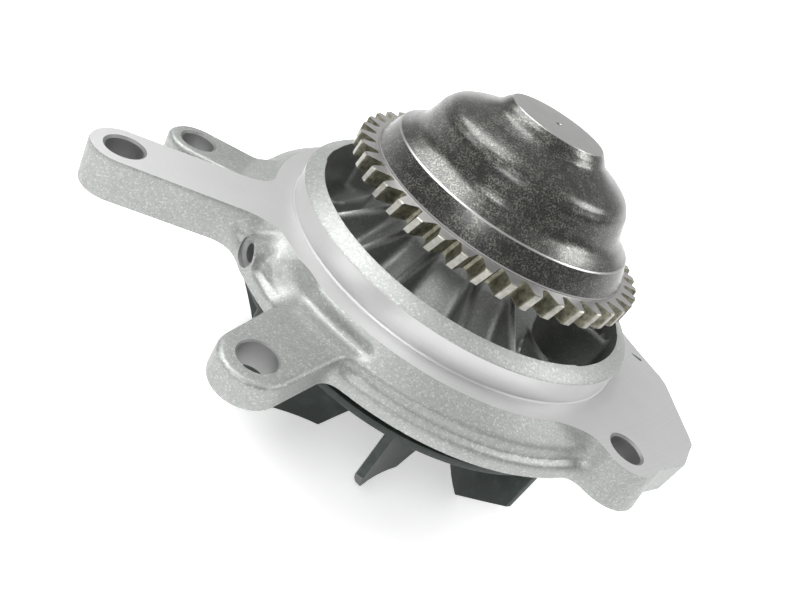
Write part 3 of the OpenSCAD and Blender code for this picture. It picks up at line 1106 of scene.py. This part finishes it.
@dataclass
class WoundSpring:
    """A spring wound from round wire, either straight or closed into a ring."""

    name: str
    node: str
    body: Body
    wire_r: float
    turns: float
    steps_per_turn: int = 28
    sides: int = 10
    closed: bool = False

    def centre_line(self, turn: float) -> Array:
        """Centre of the wire at a turn, in millimetres."""
        raise NotImplementedError

    def build(self) -> bpy.types.Object:
        """Sweep the wire along its centre line."""
        count = int(self.turns * self.steps_per_turn)
        shares = np.arange(count) / count if self.closed else np.linspace(0, 1, count)
        line = np.array([self.centre_line(s * self.turns) for s in shares])
        after = np.array([self.centre_line(s * self.turns + 1e-3) for s in shares])
        along = after - line
        along /= np.linalg.norm(along, axis=1)[:, None]
        side = np.cross(along, (0, 0, 1.0))
        side /= np.linalg.norm(side, axis=1)[:, None]
        up = np.cross(side, along)
        turns = np.arange(self.sides) * TAU / self.sides
        ring = np.cos(turns)[None, :, None] * side[:, None] + np.sin(turns)[None, :, None] * up[:, None]
        points = (line[:, None] + self.wire_r * ring).reshape(-1, 3)
        faces = []
        for i in range(count if self.closed else count - 1):
            a, b = i * self.sides, ((i + 1) % count) * self.sides
            faces += ring_quads(a, b, self.sides)
        if not self.closed:
            first, last = range(self.sides), (count - 1) * self.sides
            faces += [list(first)[::-1], [last + j for j in first]]
        piece = mesh_object(self.name, points, faces, SPRING_STEEL)
        piece.data.shade_smooth()
        return settle(piece, self.body, self.node)


@dataclass
class CoilSpring(WoundSpring):
    """The coolant seal's compression spring, between two heights of its CAD node's box."""

    name: str = "seal_spring_coil"
    node: str = "seal_spring"
    body: Body = Body.PUMP
    wire_r: float = 0.45
    turns: float = 2.5
    steps_per_turn: int = 64
    coil_r: float = 16.4
    low: float = -14.9
    high: float = -13.5

    def centre_line(self, turn: float) -> Array:
        """A helix from the lower to the upper end."""
        z = self.low + (self.high - self.low) * turn / self.turns
        return np.array([*at(self.coil_r, turn * 360), z])


@dataclass
class GarterSpring(WoundSpring):
    """The oil seal's garter spring: a fine coil closed into a ring."""

    name: str = "garter_coil"
    node: str = "garter_spring"
    body: Body = Body.PUMP
    wire_r: float = 0.14
    turns: float = 220
    steps_per_turn: int = 8
    sides: int = 6
    closed: bool = True
    ring_r: float = 13.96
    coil_r: float = 0.40
    height: float = 1.5

    def centre_line(self, turn: float) -> Array:
        """A coil wound round a circle."""
        round_axis = turn * 360 / self.turns
        r = self.ring_r + self.coil_r * math.cos(turn * TAU)
        return np.array([*at(r, round_axis), self.height + self.coil_r * math.sin(turn * TAU)])


@dataclass
class InnerParts:
    """The CAD nodes of the bearing, shaft and seals, which keep their shape and get their real finish."""

    finishes: dict[str, Finish] = field(
        default_factory=lambda: {
            "pump_shaft": GROUND_STEEL,
            "bearing_ring": GROUND_STEEL,
            "bearing_balls": GROUND_STEEL,
            "bearing_rollers": GROUND_STEEL,
            "ball_cage": CAGE,
            "roller_cage": CAGE,
            "bearing_shield": SHEET_STEEL,
            "retaining_ring": SPRING_STEEL,
            "oil_seal_case": SHEET_STEEL,
            "oil_seal_lip": RUBBER,
            "slinger": SHEET_STEEL,
            "seal_cup": BRASS,
            "seal_bellows": RUBBER,
            "carbon_ring": CARBON,
            "mating_ring": CERAMIC,
            "mating_boot": RUBBER,
            "impeller_hub": BLACK,
        }
    )

    def dress(self) -> None:
        """Give each node its finish."""
        for name, finish in self.finishes.items():
            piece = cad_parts[name]
            piece.data.materials.clear()
            piece.data.materials.append(finish.material())
            LOG.info("%s: dressed in %s", name, finish.name)


# ---------------------------------------------------------------- the studio


@dataclass
class Studio:
    """Camera, pale floor and soft light round the pump."""

    place: tuple[float, float, float] = (-0.0109, -0.2227, 0.1015)
    roll: float = 33.48
    look_down: float = 29.63
    lens: float = 31.5
    sensor: float = 36.0
    floor_size: float = 3.2
    floor_gap: float = 0.2
    floor_tone: float = 0.93
    horizon: float = 1.25
    low_sky: float = 0.30
    zenith: float = 0.50
    soft_boxes: Sequence[tuple[str, tuple[float, float, float], float, float]] = (
        ("key", (-0.45, 0.12, 0.80), 0.62, 7.4),
        ("right", (0.65, 0.20, 0.70), 0.34, 3.2),
        ("front", (-0.20, -0.70, 0.70), 0.30, 2.6),
    )

    def camera(self) -> None:
        """The camera stands close in front, looks down at the pump and leans to one side."""
        data = bpy.data.cameras.new("camera")
        data.lens = self.lens
        data.sensor_width = self.sensor
        data.clip_start, data.clip_end = 0.01, 50.0
        made = bpy.data.objects.new("camera", data)
        tilt = Matrix.Rotation(math.radians(90 - self.look_down), 4, "X")
        lean = Matrix.Rotation(math.radians(self.roll), 4, "Z")
        made.matrix_world = Matrix.Translation(self.place) @ tilt @ lean
        bpy.context.scene.collection.objects.link(made)
        bpy.context.scene.camera = made

    def floor(self, lowest: float) -> None:
        """A wide pale floor just under the pump.

        Args:
            lowest: Height of the pump's lowest point, in metres.
        """
        height, half = lowest - self.floor_gap * MM, self.floor_size / 2
        corners = [(-half, -half), (half, -half), (half, half), (-half, half)]
        points = np.array([(x / MM, y / MM, height / MM) for x, y in corners])
        piece = mesh_object("floor", points, [[0, 1, 2, 3]], StudioFloor("studio_floor", self.floor_tone))

    def lights(self) -> None:
        """A sky that is bright overhead and greyer towards the horizon, and soft boxes above and beside."""
        world = bpy.data.worlds.new("sky")
        world.use_nodes = True
        nodes, links = world.node_tree.nodes, world.node_tree.links
        sky = nodes.new("ShaderNodeTexCoord")
        parts = nodes.new("ShaderNodeSeparateXYZ")
        links.new(sky.outputs["Generated"], parts.inputs[0])
        ramp = nodes.new("ShaderNodeValToRGB")
        stops = ((0.14, self.horizon), (0.32, self.low_sky), (0.95, self.zenith))
        Shader.set_stops(ramp.color_ramp, [(place, grey(tone)) for place, tone in stops])
        links.new(parts.outputs[2], ramp.inputs[0])
        links.new(ramp.outputs[0], nodes["Background"].inputs["Color"])
        bpy.context.scene.world = world
        for name, place_m, size, power in self.soft_boxes:
            data = bpy.data.lights.new(name, "AREA")
            data.size = size
            data.energy = power
            lamp = bpy.data.objects.new(name, data)
            lamp.location = place_m
            lamp.rotation_euler = (-Vector(place_m)).to_track_quat("-Z", "Y").to_euler()
            bpy.context.scene.collection.objects.link(lamp)

    def build(self, lowest: float) -> None:
        """Set the whole studio up.

        Args:
            lowest: Height of the pump's lowest point, in metres.
        """
        self.camera()
        self.floor(lowest)
        self.lights()


@dataclass(frozen=True)
class StudioFloor(Finish):
    """Plain pale floor."""

    tone: float = 0.93
    glow: float = 0.55

    def paint(self, sh: Shader) -> None:
        """Matt white with hardly any variation."""
        cloud = sh.noise(sh.coords(), 400.0, 1.0)
        pale = sh.mix(cloud, grey(self.tone * 0.995), grey(self.tone))
        sh.surface(Base_Color=pale, Roughness=0.85, Specular_IOR_Level=0.1)
        sh.surface(Emission_Color=pale, Emission_Strength=self.glow)


def main() -> None:
    """Build every sub-assembly in order, then the studio."""
    logging.basicConfig(level=logging.INFO, format="%(message)s")
    bpy.context.scene.view_settings.view_transform = "Standard"
    Housing().build()
    DriveGear().build()
    Impeller().build()
    CoilSpring().build()
    GarterSpring().build()
    InnerParts().dress()
    Studio().build(CAD_BOX[0].z)


if __name__ == "__main__":
    main()
